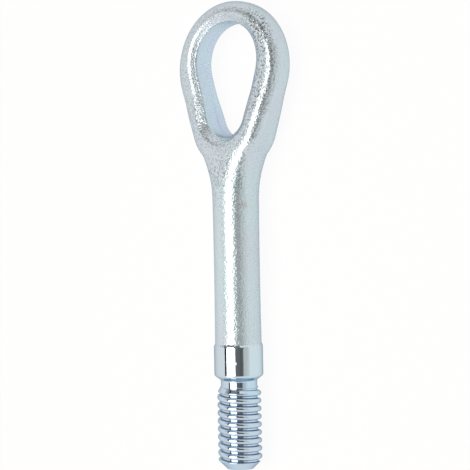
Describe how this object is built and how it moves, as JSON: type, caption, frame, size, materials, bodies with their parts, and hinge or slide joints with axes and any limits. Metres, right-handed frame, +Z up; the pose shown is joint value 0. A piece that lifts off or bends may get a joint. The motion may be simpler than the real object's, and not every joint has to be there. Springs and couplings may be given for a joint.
{
  "type": "tow eye",
  "caption": "Screw-in tow eye: an egg-shaped forged loop on a round shank with a locating collar, an undercut and a coarse left-hand thread with a chamfered tip.",
  "frame": {"origin": "on the thread's axis, at the thread end of the collar's round wall", "axes": "+X along the axis from the thread to the eye, Y across the eye in its plane, +Z up, square to the eye's plane; the part lies flat"},
  "size_m": [0.1688, 0.047, 0.0178],
  "materials": {
    "zinc_plated_steel": "bright zinc plate with a clear bluish passivation, fine shot-blast grain on the forged surfaces, smooth on the turned end"
  },
  "bodies": {
    "root": {"tow_eye": "zinc_plated_steel"}
  },
  "joints": []
}
